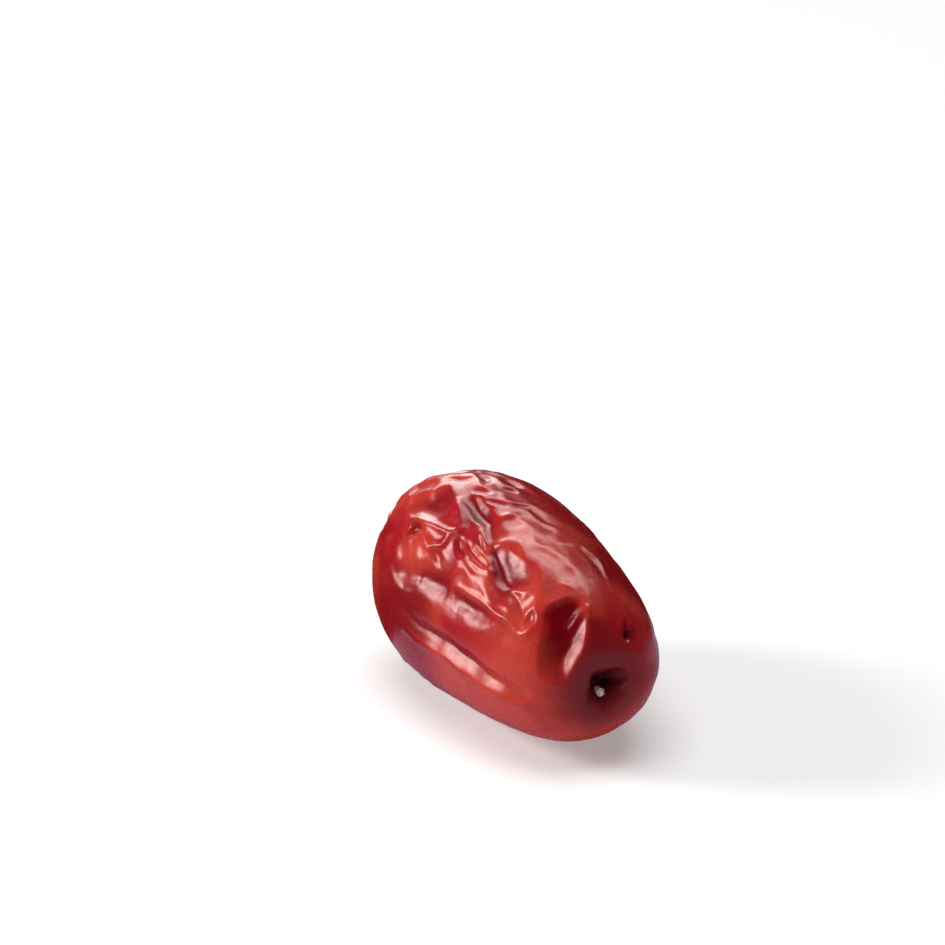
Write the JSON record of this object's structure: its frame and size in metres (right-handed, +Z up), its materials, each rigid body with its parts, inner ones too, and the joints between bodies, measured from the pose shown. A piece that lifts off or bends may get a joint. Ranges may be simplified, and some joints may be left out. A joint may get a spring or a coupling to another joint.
{
  "type": "dried jujube",
  "caption": "Dried jujube fruit lying on its side: oval, squarer at the stalk end, with shrivelled glossy red skin, a stalk pit and a dry stalk stub.",
  "frame": {"origin": "middle of the fruit's box, on the surface that it lies on", "axes": "+X along the fruit towards the stalk end, +Z up"},
  "size_m": [0.0444, 0.027, 0.0263],
  "materials": {
    "skin": "glossy shrivelled deep red fruit skin",
    "stalk": "dry pale brown stalk fibre"
  },
  "bodies": {
    "root": {"fruit": "skin", "stalk_stub": "stalk"}
  },
  "joints": []
}
